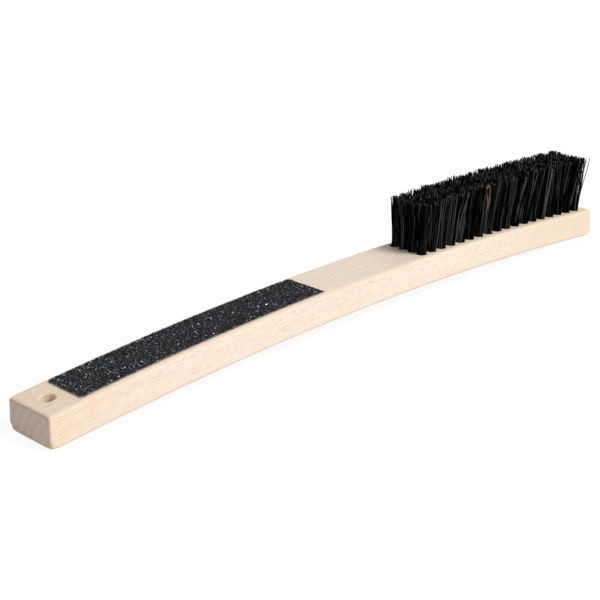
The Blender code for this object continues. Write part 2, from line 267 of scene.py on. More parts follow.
class Arcs:
    """The handle's two arcs in side view."""

    def __init__(self, handle):
        half = handle.length / 2
        corner = handle.sole_corner
        self.half = half
        self.sole_radius = handle.sole_radius
        self.centre_z = corner - math.sqrt((self.sole_radius + corner) ** 2 - (half - corner) ** 2)
        self.sole_end_angle = math.asin((half - corner) / (self.sole_radius + corner))
        self.top_radius = self.sole_radius + (handle.butt_thickness + handle.head_thickness) / 2
        thinning = (handle.butt_thickness - handle.head_thickness) / 2
        self.top_centre_x = -thinning * self.sole_radius / half
        self.butt_angle = math.asin((-half - self.top_centre_x) / self.top_radius)
        self.head_angle = math.asin((half - self.top_centre_x) / self.top_radius)
        self.top_length = self.top_radius * (self.head_angle - self.butt_angle)

    def sole_point(self, angle):
        x = self.sole_radius * math.sin(angle)
        return Vector((x, 0, self.centre_z + self.sole_radius * math.cos(angle)))

    def top_at_angle(self, angle):
        x = self.top_centre_x + self.top_radius * math.sin(angle)
        return Vector((x, 0, self.centre_z + self.top_radius * math.cos(angle)))

    def top_corner(self, side, radius):
        """The centre of one end's round, and the angle where it leaves the arc."""
        x = side * (self.half - radius)
        reach = self.top_radius - radius
        angle = math.asin((x - self.top_centre_x) / reach)
        return Vector((x, 0, self.centre_z + reach * math.cos(angle))), angle

    def over_top(self, points):
        """Bend flat points, (from butt, across, lift), to the top of the handle."""
        angle = self.butt_angle + points[..., 0] / self.top_radius
        reach = self.top_radius + points[..., 2]
        x = self.top_centre_x + reach * np.sin(angle)
        z = self.centre_z + reach * np.cos(angle)
        return np.stack((x, points[..., 1], z), axis=-1)

    def stand_on_top(self, from_butt):
        """The matrix of something that stands square to the top."""
        angle = self.butt_angle + from_butt / self.top_radius
        return Matrix.Translation(self.top_at_angle(angle)) @ Matrix.Rotation(angle, 4, "Y")


# Materials


def new_material(name, **sockets):
    material = bpy.data.materials.new(name)
    material.use_nodes = True
    shader = material.node_tree.nodes["Principled BSDF"]
    for socket, value in sockets.items():
        shader.inputs[socket.replace("_", " ")].default_value = value
    return material, material.node_tree, shader


def put(tree, kind, inputs=None, **settings):
    """Add a node. An input that is a socket is linked, and any other is set."""
    node = tree.nodes.new("ShaderNode" + kind)
    for name, value in settings.items():
        setattr(node, name, value)
    for name, value in (inputs or {}).items():
        if isinstance(value, bpy.types.NodeSocket):
            tree.links.new(value, node.inputs[name])
        else:
            node.inputs[name].default_value = value
    return node


def derived(kind, inputs, **settings):
    """The outputs of a new node in the tree of the sockets that it takes in."""
    sockets = [value for value in inputs.values() if isinstance(value, bpy.types.NodeSocket)]
    return put(sockets[0].id_data, kind, inputs, **settings).outputs


def maths(operation, first, second=0.0, third=0.0):
    return derived("Math", {0: first, 1: second, 2: third}, operation=operation)[0]


def times(first, *others):
    for other in others:
        first = maths("MULTIPLY", first, other)
    return first


def rise(value, low, high, start=0.0, end=1.0):
    """Smoothly from start to end while the value goes from low to high."""
    inputs = {"Value": value, "From Min": low, "From Max": high, "To Min": start, "To Max": end}
    return derived("MapRange", inputs, interpolation_type="SMOOTHSTEP")[0]


def hump(value, low, full, still, high):
    """Smoothly from 0 to 1 and back to 0 while the value passes these four."""
    return times(rise(value, low, full), rise(value, still, high, 1, 0))


def blend(share, first, second):
    """From the first colour to the second, each a socket or a constant."""
    inputs = {0: share}
    for name, value in ((6, first), (7, second)):
        inputs[name] = value if isinstance(value, bpy.types.NodeSocket) else (*value, 1.0)
    return derived("Mix", inputs, data_type="RGBA")[2]


def multiplied(tint, red, green, blue):
    factors = derived("CombineColor", {0: red, 1: green, 2: blue})[0]
    inputs = {0: 1.0, 6: tint, 7: factors}
    return derived("Mix", inputs, data_type="RGBA", blend_type="MULTIPLY")[2]


def split(vector):
    return derived("SeparateXYZ", {0: vector})


def scaled(vector, sizes):
    """The vector counted in these sizes."""
    inputs = {0: vector, 1: tuple(1 / length for length in sizes)}
    return derived("VectorMath", inputs, operation="MULTIPLY")[0]


def noise(vector, sizes, detail, rough):
    inputs = {"Vector": scaled(vector, sizes), "Scale": 1.0, "Detail": detail, "Roughness": rough}
    return derived("TexNoise", inputs)["Fac"]


def distance(first, second):
    """How far a point in a plane is from its origin."""
    flat = derived("CombineXYZ", {0: first, 1: second})[0]
    return derived("VectorMath", {0: flat}, operation="LENGTH")["Value"]


def link(socket, shader, name):
    socket.id_data.links.new(socket, shader.inputs[name])


def roughen(shader, height, strength, depth):
    inputs = {"Height": height, "Strength": strength, "Distance": depth}
    link(derived("Bump", inputs)[0], shader, "Normal")


# Each noise in the wood: its size along the grain and across it, detail and roughness
WOOD_NOISES = {
    "wander": (0.09, 0.018, 1.0, 0.5),
    "strength": (0.05, 0.004, 2.0, 0.5),
    "fibres": (0.006, 0.00022, 3.0, 0.65),
    "streaks": (0.022, 0.0011, 2.0, 0.6),
    "clouds": (0.014, 0.005, 3.0, 0.5),
    "mottle": (0.0024, 0.0011, 2.0, 0.6),
    "blush": (0.0034, 0.0022, 2.0, 0.6),
    "pores": (0.004, 0.00028, 2.0, 0.7),
}
# The part of a noise's range that a rise takes in
CRISP = (0.35, 0.65)
EVEN = (0.3, 0.7)
SOFT = (0.25, 0.75)
# Growth rings: slant, bend round the heart, wandering and late wood
RING_TURN = (-math.radians(32), 0, 0)
RING_BEND = 2.0
RING_WANDER = 0.006
RING_PROFILE = (0.35, 0.92, 0.92, 1.0)
LATE_SHARE = 0.20
LATE_END_SHARE = 0.44
# Rays: the cell that holds one, its soft edge and how strongly it shows
RAY_CELL = (0.0036, 0.016, 0.0010)
RAY_EDGE = (0.12, 0.42)
RAY_CHANCE = (0.10, 0.85)
RAY_BLUSH = (0.35, 0.62, 0.25, 1.15)
RAY_SHARE = 0.8
# How much of the painted shade the rounds along the sides and round the ends take
ROUND_SHADE_SHARE = 0.8
# Distances between which a layer fades
END_BAND = (0.0045, 0.0035)
BUTT_REACH = 0.055
HEAD_START = 0.045
SOLE_BAND = (0.0012, 0.0052)
SOLE_UNEVEN = 0.004
WALL_BAND = (0.0001, 0.0006)
# Parts of a normal between which a layer fades
# The faces that look sideways, which get a painted cooler tint
SIDE_FACING = (0.5, 0.9)
RAY_FACING = (0.3, 0.9)
# The rounds along the sides, where the painted shade goes
EDGE_SHADE_FACING = (0.25, 0.6, 0.8, 0.99)
END_FACING = (0.76, 0.96)
# The rounds between the ends and the faces, where the painted tan shade goes
CORNER_SHADE_FACING = (0.6, 0.8, 0.95, 0.999)


class WoodNodes:
    """What the layers of the beech share."""

    def __init__(self, tree, handle, wood):
        coordinates = put(tree, "TexCoord").outputs
        self.place = coordinates["Object"]
        self.spot = split(self.place)
        turn = {"Vector": self.place, "Rotation": RING_TURN}
        self.slanting = derived("Mapping", turn)[0]
        self.noises = {
            name: noise(self.place, (along, across, across), detail, rough)
            for name, (along, across, detail, rough) in WOOD_NOISES.items()
        }
        facing = split(coordinates["Normal"])
        ends = [handle.length / 2 - away for away in END_BAND]
        at_end = rise(maths("ABSOLUTE", self.spot[0]), *ends)
        self.faces_end = times(maths("ABSOLUTE", facing[0]), at_end)
        self.faces_side = maths("ABSOLUTE", facing[1])
        self.late = self.late_wood(wood)
        self.near_sole = self.near_sole_band(handle)

    def late_wood(self, wood):
        """Slanting growth rings that wander along the length."""
        across = split(self.slanting)
        heart = times(across[2], across[2])
        depth = maths("MULTIPLY_ADD", heart, RING_BEND, across[1])
        depth = maths("MULTIPLY_ADD", self.noises["wander"], RING_WANDER, depth)
        phase = maths("FRACT", maths("DIVIDE", depth, wood.ring_spacing))
        strength = rise(self.noises["strength"], *SOFT, 0.35, 1.0)
        return times(hump(phase, *RING_PROFILE), strength)

    def near_sole_band(self, handle):
        """The band along the sole's arc: warmer on the long grain, and painted shade at the foot of
        the ends.
        """
        height = maths("SUBTRACT", self.spot[2], Arcs(handle).centre_z)
        reach = distance(self.spot[0], height)
        over_sole = maths("SUBTRACT", reach, handle.sole_radius)
        uneven = maths("MULTIPLY_ADD", self.noises["blush"], SOLE_UNEVEN, over_sole)
        return rise(uneven, *SOLE_BAND, 0.38, 0)

    def flecks(self):
        """Rays, seen as short dashes on the side faces."""
        ray = derived("TexVoronoi", {"Vector": scaled(self.slanting, RAY_CELL), "Scale": 1.0})
        near = rise(ray["Distance"], *RAY_EDGE, 1, 0)
        chance = derived("SeparateColor", {0: ray["Color"]})[0]
        seen = rise(self.faces_side, *RAY_FACING, 0.12, 1.0)
        blush = rise(self.noises["blush"], *RAY_BLUSH)
        return times(near, rise(chance, *RAY_CHANCE), seen, blush)


def long_grain(handle, wood, nodes):
    """The colour of the top, the sole and the sides."""
    noises, spot, half = nodes.noises, nodes.spot, handle.length / 2
    tint = blend(rise(noises["clouds"], *CRISP), wood.plain, wood.pale)
    tint = blend(times(nodes.late, LATE_SHARE), tint, wood.late)
    tint = blend(rise(noises["blush"], *CRISP, 0.0, 0.6), tint, wood.blush)
    grain = times(
        rise(noises["fibres"], *SOFT, 0.95, 1.03),
        rise(noises["streaks"], *EVEN, 0.972, 1.014),
        rise(noises["mottle"], *SOFT, 0.94, 1.05),
    )
    blue = times(grain, rise(noises["mottle"], *SOFT, 0.965, 1.025))
    tint = multiplied(tint, grain, grain, blue)
    tint = blend(times(nodes.flecks(), RAY_SHARE), tint, wood.fleck)

    # Deeper towards both ends, and a painted cooler tint where the faces look sideways, for the
    # light that falls on the sides
    patches = [rise(noises[name], *CRISP, 0.5, 1.5) for name in ("streaks", "blush")]
    near_butt = rise(spot[0], -half, BUTT_REACH - half, 0.50, 0.0)
    tint = blend(times(near_butt, times(*patches)), tint, wood.near_butt)
    near_head = rise(spot[0], HEAD_START, half, 0.0, 0.65)
    tint = blend(near_head, tint, wood.near_head)
    green, blue = (rise(nodes.faces_side, *SIDE_FACING, 1.0, most) for most in (1.013, 1.024))
    tint = multiplied(tint, 1.0, green, blue)

    # Painted shade on the rounds along the sides, which tones down the light band on them
    edge = hump(nodes.faces_side, *EDGE_SHADE_FACING)
    tint = blend(times(edge, ROUND_SHADE_SHARE), tint, wood.edge)
    return blend(nodes.near_sole, tint, wood.sole)


def end_grain(wood, nodes):
    """The colour of both ends: the same rings, darker, with pores."""
    tint = blend(rise(nodes.noises["clouds"], *EVEN), wood.end_grain, wood.end_pale)
    tint = blend(times(nodes.late, LATE_END_SHARE), tint, wood.end_late)
    # Painted shade at the foot of the ends, next to the floor
    tint = blend(nodes.near_sole, tint, wood.end_foot_shade)
    pores = rise(nodes.noises["pores"], *EVEN, 0.90, 1.05)
    return multiplied(tint, pores, pores, pores)


def beech_material(handle, wood):
    """Beech, with end grain at both ends and a tan wall in the hanging hole."""
    material, tree, shader = new_material("beech", Roughness=0.58, IOR=1.45)
    nodes = WoodNodes(tree, handle, wood)
    skin = long_grain(handle, wood, nodes)
    skin = blend(rise(nodes.faces_end, *END_FACING), skin, end_grain(wood, nodes))
    # Painted tan shade on the rounds between the ends and the faces
    corner = hump(nodes.faces_end, *CORNER_SHADE_FACING)
    skin = blend(times(corner, ROUND_SHADE_SHARE), skin, wood.end_corner_shade)

    from_hole = maths("ADD", nodes.spot[0], handle.length / 2 - handle.hole_from_butt)
    off_axis = distance(from_hole, nodes.spot[1])
    wall = [handle.hole_diameter / 2 + away for away in WALL_BAND]
    skin = blend(rise(off_axis, *wall, 1, 0), skin, wood.drilled)
    link(skin, shader, "Base Color")

    height = maths("MULTIPLY_ADD", nodes.noises["streaks"], 0.5, nodes.noises["fibres"])
    roughen(shader, height, 0.30, 0.00012)
    return material


DUST_SIZE = (0.0012, 0.0005, 0.0005)
# Chance values from which a grain lightens, glints and glints brightly
GRIT_LIGHTENS = (0.25, 0.95)
GRIT_GLINTS = (0.951, 0.956)
GRIT_IS_BRIGHT = (0.970, 1.0)
# More grains glint towards the butt
GLINTS_ALONG = (-0.13, -0.06)
MORE_GLINTS = 0.015


def film_material(strip):
    """The strip's dusty backing."""
    material, tree, shader = new_material("strip_backing", Roughness=0.45, IOR=1.5)
    dust = noise(put(tree, "TexCoord").outputs["Object"], DUST_SIZE, 3.0, 0.6)
    tint = blend(rise(dust, *EVEN), strip.film_colour, strip.film_dark)
    link(tint, shader, "Base Color")
    roughen(shader, dust, 0.4, 0.0001)
    return material


def grit_material(strip):
    """Glassy black grains, some lighter, a few glinting."""
    material, tree, shader = new_material(
        "black_grit", Roughness=0.28, IOR=1.55, Specular_IOR_Level=0.07
    )
    kind = put(tree, "Attribute", attribute_name="grain").outputs["Fac"]
    along = split(put(tree, "TexCoord").outputs["Object"])[0]
    kind = maths("ADD", kind, rise(along, *GLINTS_ALONG, MORE_GLINTS, 0.0))
    light = blend(rise(kind, *GRIT_LIGHTENS), strip.grit_colour, strip.grit_light)
    glint = blend(rise(kind, *GRIT_IS_BRIGHT), strip.glint, strip.bright_glint)
    glints = rise(kind, *GRIT_GLINTS)
    link(blend(glints, light, glint), shader, "Base Color")
    link(glints, shader, "Metallic")
    return material


# Shades from which a strand is greyer with painted sheen, and its cut end gets a painted glint
STRAND_SHEEN_GREYS = (0.57, 1.0)
STRAND_GLINTS = (0.66, 1.0)
# The shade of the few olive strands, and where olive sets in
PALE_STRAND = 2.0
STRAND_PALES = (1.4, 1.6)
# How far up the cut ends must face for the painted glint
CUT_GLINT_FACING = (0.80, 0.95)
HAIR_STRETCHES = (0.003, 0.003, 0.002)


def nylon_material(bristles):
    """Black nylon, some strands greyer than others with painted sheen, and a painted glint on the
    cut ends that face up.
    """
    material, tree, shader = new_material(
        "black_nylon", Roughness=0.45, IOR=1.5, Specular_IOR_Level=0.012
    )
    kind = put(tree, "Attribute", attribute_name="strand").outputs["Fac"]
    tint = blend(rise(kind, *STRAND_SHEEN_GREYS), bristles.nylon, bristles.sheen_grey)
    tint = blend(rise(kind, *STRAND_PALES), tint, bristles.olive)
    upwards = split(put(tree, "TexCoord").outputs["Normal"])[2]
    # Painted glint on the cut ends that face up
    cut_end_glint = rise(upwards, *CUT_GLINT_FACING)
    glint = times(cut_end_glint, rise(kind, *STRAND_GLINTS), 0.9)
    tint = blend(glint, tint, bristles.cut_end_glint)
    link(tint, shader, "Base Color")
    return material


def brown_material(bristles):
    """The looped hair, paler in stretches."""
    material, tree, shader = new_material("brown_bristle", Roughness=0.42, IOR=1.5)
    along = noise(put(tree, "TexCoord").outputs["Object"], HAIR_STRETCHES, 2.0, 0.5)
    tint = blend(rise(along, *EVEN), bristles.brown, bristles.pale_brown)
    link(tint, shader, "Base Color")
    return material


# Handle

# How far the cutters of the holes stand out of the wood
OVERRUN = 0.002
# How far along the handle the lean of the butt fades out
LEAN_REACH = 0.009
# How far the flare of a rim turns, and how far out it reaches
FLARE_TURN = math.radians(75)
FLARE_REACH = 1.2


def fade(value, near, far):
    """From 1 at the near value to 0 at the far one, smoothly."""
    share = min(max((far - value) / (far - near), 0), 1)
    return share * share * (3 - 2 * share)


def round_points(centre, radius, first, last):
    """Points of a round in side view. Angles count from +X towards +Z."""
    turns = spread(first, last, steps=8)
    return [centre + radius * Vector((math.cos(turn), 0, math.sin(turn))) for turn in turns]


def side_outline(handle, arcs):
    """The handle in side view, once round from the sole at the butt."""
    half = arcs.half
    up = math.pi / 2
    sole_turns = spread(-arcs.sole_end_angle, arcs.sole_end_angle, steps=96)
    points = [arcs.sole_point(turn) for turn in sole_turns]
    corner = handle.sole_corner
    points += round_points(Vector((half - corner, 0, corner)), corner, -up, 0)
    high, high_angle = arcs.top_corner(1, handle.top_corner)
    points += round_points(high, handle.top_corner, 0, up - high_angle)[:-1]
    far, far_angle = arcs.top_corner(-1, handle.top_corner)
    points += [arcs.top_at_angle(turn) for turn in spread(high_angle, far_angle, steps=145)]
    points += round_points(far, handle.top_corner, up - far_angle, math.pi)[1:]
    points += round_points(Vector((corner - half, 0, corner)), corner, math.pi, 3 * up)
    middle = handle.butt_thickness / 2
    for point in points:
        at_butt = fade(point.x + half, handle.top_corner, LEAN_REACH)
        point.x += handle.butt_lean * at_butt * (point.z / middle - 1) / 2
    return points


def cut_faces(bm, test, place, normal):
    """Cut the faces whose middle passes the test along a plane."""
    faces = [face for face in bm.faces if test(face.calc_center_median())]
    parts = set(faces)
    for face in faces:
        parts.update(face.edges)
        parts.update(face.verts)
    bmesh.ops.bisect_plane(bm, geom=list(parts), plane_co=place, plane_no=normal, dist=1e-6)


def round_butt_feet(bm, handle):
    """Round the butt's two lowest corners like a ball, fading out along their edges."""
    half, side, radius = handle.length / 2, handle.width / 2, handle.foot_round
    zone = 2 * radius
    cut_faces(bm, lambda place: True, (zone - half, 0, 0), (1, 0, 0))
    cut_faces(bm, lambda place: place.x < zone - half, (0, 0, zone), (0, 0, 1))

    def in_zone(place):
        return place.x < zone - half and place.z < zone

    for step in spread(0, zone, steps=11)[1:-1]:
        cut_faces(bm, in_zone, (step - half, 0, 0), (1, 0, 0))
        cut_faces(bm, in_zone, (0, 0, step), (0, 0, 1))
        cut_faces(bm, in_zone, (0, side - step, 0), (0, 1, 0))
        cut_faces(bm, in_zone, (0, step - side, 0), (0, 1, 0))
    for vert in [vert for vert in bm.verts if in_zone(vert.co)]:
        inward = Vector((vert.co.x + half, side - abs(vert.co.y), vert.co.z))
        short = Vector([max(radius - away, 0) for away in inward])
        if short.length > radius:
            strength = math.prod(fade(away, radius, zone) for away in inward)
            pull = short * (1 - radius / short.length) * strength
            vert.co += Vector((pull.x, math.copysign(pull.y, -vert.co.y), pull.z))


def handle_blank(handle, arcs):
    bm = bmesh.new()
    side = Vector((0, handle.width / 2, 0))
    face = bm.faces.new([bm.verts.new(point - side) for point in side_outline(handle, arcs)])
    thicken(bm, [face], 2 * side)
    rims = [edge for edge in bm.edges if edge.verts[0].co.y * edge.verts[1].co.y > 0]
    bmesh.ops.bevel(
        bm, geom=rims, affect="EDGES", offset=handle.edge_round, segments=6, profile=0.5,
        clamp_overlap=False, material=-1,
    )
    round_butt_feet(bm, handle)
    bmesh.ops.recalc_face_normals(bm, faces=bm.faces)
    return added(mesh_from(bm, "handle_blank"))


def drill(radius, depth, matrix):
    """A round cutter, so deep into the surface that the matrix stands on."""
    bm = bmesh.new()
    bmesh.ops.create_cone(
        bm, cap_ends=True, segments=20, radius1=radius, radius2=radius, depth=depth + OVERRUN
    )
    bmesh.ops.translate(bm, verts=bm.verts, vec=(0, 0, (OVERRUN - depth) / 2))
    bmesh.ops.transform(bm, verts=bm.verts, matrix=matrix)
    return mesh_from(bm, "drill")


def row_from_butt(bristles, arcs, row):
    last = arcs.top_length - bristles.last_from_head
    return last - (bristles.rows - 1 - row) * bristles.row_pitch


def tuft_across(bristles, tuft):
    return (tuft - (bristles.in_row - 1) / 2) * bristles.tuft_pitch


def flare(radius, rim, surface, inwards):
    """Points (radius, height) of a rounded rim, from a hole's wall out past the surface."""
    points = []
    for turn in spread(0, FLARE_TURN, steps=5):
        depth = rim * (1 - math.sin(turn))
        points.append((radius + rim * (1 - math.cos(turn)), surface + inwards * depth))
    return points + [(radius + rim * FLARE_REACH, surface - inwards * rim / 3)]


def hanging_hole_cutter(handle, arcs):
    """A round cutter, flared at both ends, whose rims follow the handle's slope."""
    x = handle.hole_from_butt - arcs.half
    turn = math.asin((x - arcs.top_centre_x) / arcs.top_radius)
    top = arcs.top_at_angle(turn).z
    sole = arcs.sole_point(math.asin(x / arcs.sole_radius)).z
    radius = handle.hole_diameter / 2
    lower = flare(radius, handle.hole_rim, sole, 1)[::-1]
    upper = flare(radius, handle.hole_rim, top, -1)
    profile = [(0, lower[0][1])] + lower + upper + [(0, upper[-1][1])]
    bm = bmesh.new()
    verts = [bm.verts.new((away, 0, height)) for away, height in profile]
    edges = [bm.edges.new(pair) for pair in zip(verts, verts[1:])]
    bmesh.ops.spin(
        bm, geom=verts + edges, axis=(0, 0, 1), angle=2 * math.pi, steps=64, use_merge=True
    )
    bmesh.ops.remove_doubles(bm, verts=bm.verts, dist=1e-7)
    bmesh.ops.recalc_face_normals(bm, faces=bm.faces)
    slope = Matrix.Identity(4)
    slope[2][0] = -math.tan(turn)
    bmesh.ops.transform(bm, verts=bm.verts, matrix=Matrix.Translation((x, 0, 0)) @ slope)
    return mesh_from(bm, "hanging_hole_cutter")


def make_handle(handle, wood, bristles):
    arcs = Arcs(handle)
    blank = handle_blank(handle, arcs)
    drills = bpy.data.collections.new("drills")
    bpy.context.scene.collection.children.link(drills)
    added(hanging_hole_cutter(handle, arcs), collection=drills)
    for row in range(bristles.rows):
        stand = arcs.stand_on_top(row_from_butt(bristles, arcs, row))
        for tuft in range(bristles.in_row):
            matrix = stand @ Matrix.Translation((0, tuft_across(bristles, tuft), 0))
            cutter = drill(bristles.hole_diameter / 2, bristles.hole_depth, matrix)
            added(cutter, collection=drills)
    cut = blank.modifiers.new("holes", "BOOLEAN")
    cut.operation, cut.solver = "DIFFERENCE", "EXACT"
    cut.operand_type, cut.collection = "COLLECTION", drills
    mesh = baked_mesh(blank, "beech_handle")
    for obj in list(drills.objects):
        bpy.data.objects.remove(obj, do_unlink=True)
    bpy.data.collections.remove(drills)
    mesh.shade_smooth()
    mesh.set_sharp_from_angle(angle=math.radians(30))
    smooth = added(mesh)
    smooth.modifiers.new("flat_faces", "WEIGHTED_NORMAL").keep_sharp = True
    mesh = baked_mesh(smooth, "beech_handle")
    shown("beech_handle", mesh, beech_material(handle, wood), "beech", "handle")


# Abrasive strip

FILM_SEED = 3
FILM_WOBBLE = 0.00005
GRIT_SEED = 5
# Shares of the grains' pitch (scatter) or size
SCATTER = 0.22
LUMPS = 0.26
STRETCH = (0.62, 1.25)
SIZE_SPREAD = 0.20
LARGEST = 1.5
FLATNESS = 0.8
# How far a grain's middle lies over the film, in grain sizes
LIFT = 0.15
LIFT_SPREAD = 0.06


def strip_extent(strip, inset):
    """Half the width, and where the strip starts and ends from the butt."""
    end = strip.from_butt + strip.length
    return strip.width / 2 - inset, strip.from_butt + inset, end - inset


def strip_outline(strip):
    """The strip laid flat, as points (from butt, across)."""
    half, start, end = strip_extent(strip, 0)
    points = []
    for x, y, turn, radius in (
        (start, -half, math.pi, strip.corner),
        (end, -half, 1.5 * math.pi, strip.cut_corner),
        (end, half, 0, strip.cut_corner),
        (start, half, 0.5 * math.pi, strip.corner),
    ):
        centre_x = x + radius * (1 if x == start else -1)
        centre_y = y + radius * (1 if y < 0 else -1)
        for angle in spread(turn, turn + math.pi / 2, steps=6):
            out_x, out_y = radius * math.cos(angle), radius * math.sin(angle)
            points.append((centre_x + out_x, centre_y + out_y))
    return points


def make_film(strip, arcs, chance):
    bm = bmesh.new()
    bm.faces.new([bm.verts.new((x, y, strip.film_bottom)) for x, y in strip_outline(strip)])
    for place in spread(strip.from_butt, strip.from_butt + strip.length, steps=90)[1:-1]:
        cut_all(bm, (place, 0, 0), (1, 0, 0))
    for vert in bm.verts:
        if vert.is_boundary:
            vert.co.y += chance.uniform(-1, 1) * FILM_WOBBLE
    thicken(bm, bm.faces[:], (0, 0, strip.film_top - strip.film_bottom))
    bmesh.ops.recalc_face_normals(bm, faces=bm.faces)
    mesh = mesh_from(bm, "strip_backing")
    set_points(mesh, arcs.over_top(points_of(mesh)))
    shown("strip_backing", mesh, film_material(strip), "strip_film", "strip_film")


def inside_outline(place, across, strip):
    """Whether flat points lie on the gritted area."""
    half, start, end = strip_extent(strip, strip.bare_border)
    inside = (place > start) & (place < end) & (np.abs(across) < half)
    beyond_x = np.maximum(start + strip.corner - place, 0)
    beyond_y = np.maximum(np.abs(across) - (half - strip.corner), 0)
    return inside & (np.hypot(beyond_x, beyond_y) < strip.corner)


def random_turns(chance, number):
    """So many random 3 by 3 rotation matrices."""
    q = chance.normal(size=(number, 4))
    q /= np.linalg.norm(q, axis=1)[:, None]
    w, x, y, z = q.T
    rows = (
        (1 - 2 * (y * y + z * z), 2 * (x * y - z * w), 2 * (x * z + y * w)),
        (2 * (x * y + z * w), 1 - 2 * (x * x + z * z), 2 * (y * z - x * w)),
        (2 * (x * z - y * w), 2 * (y * z + x * w), 1 - 2 * (x * x + y * y)),
    )
    return np.array(rows).transpose(2, 0, 1)


def make_grit(strip, arcs):
    """Thousands of crushed grains, turned at random and half sunk in the film."""
    chance = np.random.default_rng(GRIT_SEED)
    pitch = strip.grain_pitch
    along = np.arange(strip.from_butt, strip.from_butt + strip.length, pitch)
    rows = np.arange(-strip.width / 2, strip.width / 2 + pitch, pitch * math.sqrt(3) / 2)
    place, across = np.meshgrid(along, rows)
    place += pitch / 2 * (np.arange(len(rows)) % 2)[:, None]
    place += chance.normal(scale=pitch * SCATTER, size=place.shape)
    across += chance.normal(scale=pitch * SCATTER, size=across.shape)
    keep = inside_outline(place, across, strip)
    place, across = place[keep], across[keep]
    number = len(place)

    bm = bmesh.new()
    bmesh.ops.create_icosphere(bm, subdivisions=1, radius=0.5)
    mesh, points = copies(bm, number, "strip_grit")
    lumps = 1 + chance.uniform(-LUMPS, LUMPS, size=points.shape[:2])
    points *= lumps[:, :, None]
    points *= chance.uniform(*STRETCH, size=(number, 1, 3))
    points = np.einsum("nij,npj->npi", random_turns(chance, number), points)
    grain_size = strip.grain * chance.lognormal(0.0, SIZE_SPREAD, size=number)
    points *= np.minimum(grain_size, strip.grain * LARGEST)[:, None, None]
    points[..., 2] *= FLATNESS
    lift = strip.film_top + strip.grain * (LIFT + LIFT_SPREAD * chance.uniform(-1, 1, number))
    points += np.stack((place, across, lift), axis=1)[:, None, :]
    set_points(mesh, arcs.over_top(points))
    give_each_copy(mesh, "grain", chance.uniform(0, 1, number))
    mesh.shade_flat()
    shown("strip_grit", mesh, grit_material(strip), "strip_grit", "strip_grit")


# Bristles

# Rings along a strand, the lowest two down in the hole and at its mouth
LEVELS = 7
ROOT_SHARE = 1 / (LEVELS - 1)
SUNK_SHARE = 0.8
# How a strand curves, how thick it is and how its end is cut
CURVE_POWER = 1.2
BOW = 0.00030
WAVE = 0.00020
THICKNESS = (0.8, 1.12)
TAPER = 0.22
CUT_SLANT = 0.5
# How far feet, tips, clumps and tufts are off
FOOT_SCATTER = 0.00005
TIP_SCATTER = 0.00050
CLUMP_SCATTER = 0.00030
TUFT_SCATTER = 0.0003
CLUMP_REACH = 0.95
# Some strands go astray, more in the first row and less on the far side
ASTRAY_SHARE = 0.18
ASTRAY = 0.0014
ASTRAY_FIRST_ROW = 0.0018
FAR_CALM = (0.8, 0.35)
# Limits of the tips, beside the outer rows' feet and from the middle
OUTER_FAN = 1.1
OUTER_REACH = 0.0005
FAR_FIRST_REACH = 0.75
NEAR_REACH = 0.0122
FAR_REACH = 0.0108
# Uneven trim, and its wave along the rows and across them
TRIM_SPREAD = 0.00034
TRIM_WAVE = 0.00025
TRIM_TURNS = (2.1, 1.7)
# A clump's part of a strand's shade, and the painted shade that darkens inner strands
CLUMP_SHADE = 0.1
INNER_PAINTED_SHADE = 0.94
PALE_CHANCE = 0.006
# Lean of the tips: to the head, growing over the rows, and outwards
FIRST_LEANS = 0.25
LEAN_START = 0.55
OUTWARD_LEAN = (-0.0008, -0.0004, -0.0002, 0.0)
LAST_ROW_LEAN = (0.0011, 0.0018, 0.0026, 0.0033)
# Foot and tip of the strands that stand off at the head's corner
STRAYS = (
    ((0.0017, -0.0081), (0.0044, -0.0106)),
    ((0.0016, -0.0084), (0.0022, -0.0103)),
    ((0.0017, -0.0078), (0.0016, -0.0100)),
)
# Share and shift of two tufts of the first row
FIRST_ROW_FEET = {2: (0.96, (0.0001, -0.0002)), 3: (0.88, (0.0002, -0.0006))}
FIRST_SEED = 100


def strand_template():
    """An upright strand of unit radius and unit length, with a ring at each level."""
    bm = bmesh.new()
    bmesh.ops.create_cone(bm, cap_ends=True, segments=5, radius1=1, radius2=1, depth=1)
    bmesh.ops.translate(bm, verts=bm.verts, vec=(0, 0, 0.5))
    for height in spread(0, 1, LEVELS - 1)[1:-1]:
        cut_all(bm, (0, 0, height), (0, 0, 1))
    return bm


def sunflower(number, reach, start):
    """So many points spread evenly over a disc."""
    turn = np.arange(number) * math.pi * (3 - math.sqrt(5)) + start
    radius = reach * np.sqrt((np.arange(number) + 0.5) / number)
    return np.stack((radius * np.cos(turn), radius * np.sin(turn)), axis=1)


def tuft_lean(bristles, row, tuft, chance):
    """How far a tuft's tips stand off from its feet, along and across."""
    growing = LEAN_START + (1 - LEAN_START) * row / (bristles.rows - 1)
    along = bristles.lean * min(FIRST_LEANS * row, growing)
    if row == bristles.rows - 1:
        along = LAST_ROW_LEAN[min(tuft, 3)]
    across = OUTWARD_LEAN[min(tuft, 3)]
    return np.array((along, across)) + chance.normal(scale=TUFT_SCATTER, size=2)


